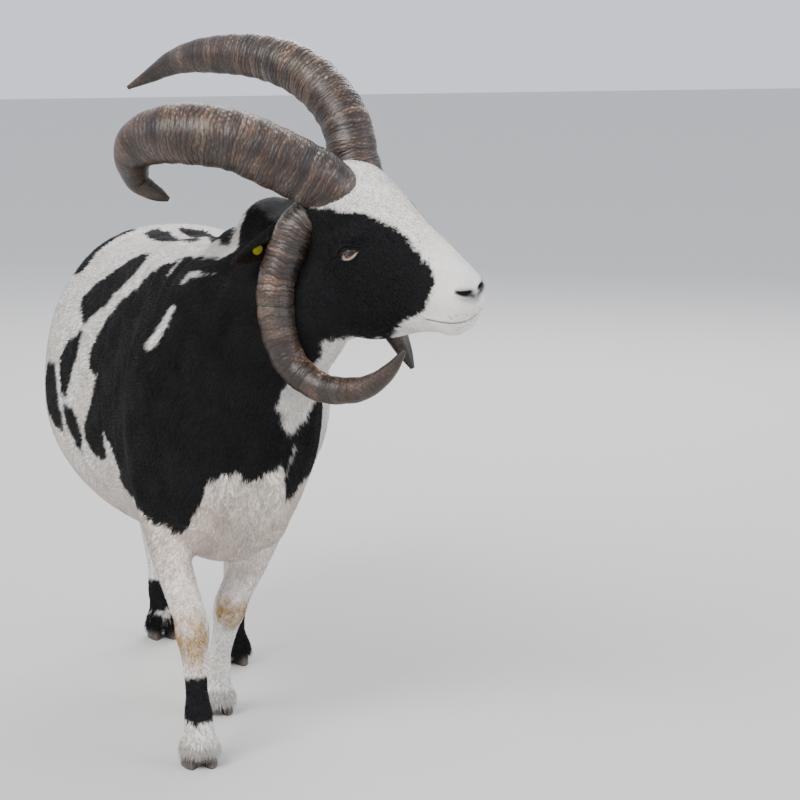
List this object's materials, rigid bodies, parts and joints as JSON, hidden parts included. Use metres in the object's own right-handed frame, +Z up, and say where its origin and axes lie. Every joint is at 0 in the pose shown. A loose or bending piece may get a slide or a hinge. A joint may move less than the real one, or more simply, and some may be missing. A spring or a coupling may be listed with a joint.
{
  "type": "four-horned ram figure",
  "caption": "Standing piebald ram with four curved horns, its head turned to one side, a short smooth coat and a plain ear tag.",
  "frame": {"origin": "on the floor, under the middle of the whole bounding box", "axes": "+Z up; the ram faces -Y and its left side is +X"},
  "size_m": [0.5522, 1.1284, 1.0391],
  "materials": {
    "coat_black": "short matt black coat",
    "coat_white": "short matt off-white coat",
    "horn": "satin ringed horn",
    "claw": "worn satin hoof horn",
    "eye": "wet gloss",
    "tag_yellow": "satin moulded plastic"
  },
  "bodies": {
    "root": {"head": "coat_black", "neck": "coat_black", "torso": "coat_white", "tail": "coat_white", "leg_front_right": "coat_white", "leg_front_left": "coat_white", "leg_hind_right": "coat_white", "leg_hind_left": "coat_white", "horn_upper_right": "horn", "horn_upper_left": "horn", "horn_lower_right": "horn", "horn_lower_left": "horn", "ear_right": "coat_black", "ear_left": "coat_black", "eye_right": "eye", "eye_left": "eye", "ear_tag": "tag_yellow", "claw_front_right_outer": "claw", "claw_front_right_inner": "claw", "claw_front_left_outer": "claw", "claw_front_left_inner": "claw", "claw_hind_right_outer": "claw", "claw_hind_right_inner": "claw", "claw_hind_left_outer": "claw", "claw_hind_left_inner": "claw"}
  },
  "joints": []
}
